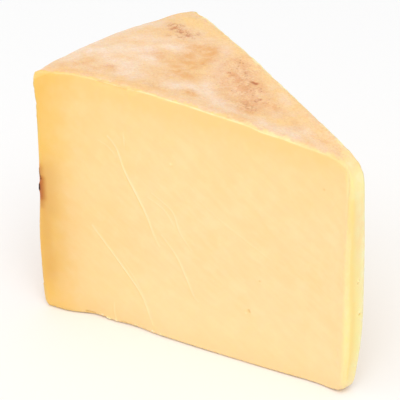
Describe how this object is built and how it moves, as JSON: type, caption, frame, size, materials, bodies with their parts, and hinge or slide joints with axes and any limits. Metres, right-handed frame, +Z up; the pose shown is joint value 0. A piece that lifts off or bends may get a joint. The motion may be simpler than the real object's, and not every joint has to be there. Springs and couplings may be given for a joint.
{
  "type": "cheddar cheese wedge",
  "caption": "Wedge of pale yellow hard cheese cut from a small wheel, with flat cut faces, a blunt nose and a dry mottled rind on top.",
  "frame": {"origin": "centre of the wedge's outline seen from above, on the surface that it stands on", "axes": "+Z up; +X from the rind towards the nose, where the two cuts meet; the front cut face looks towards -Y"},
  "size_m": [0.1306, 0.0836, 0.1023],
  "materials": {
    "cheese": "satin, slightly waxy cut faces and a dry mottled rind"
  },
  "bodies": {
    "root": {"cheese_wedge": "cheese"}
  },
  "joints": []
}
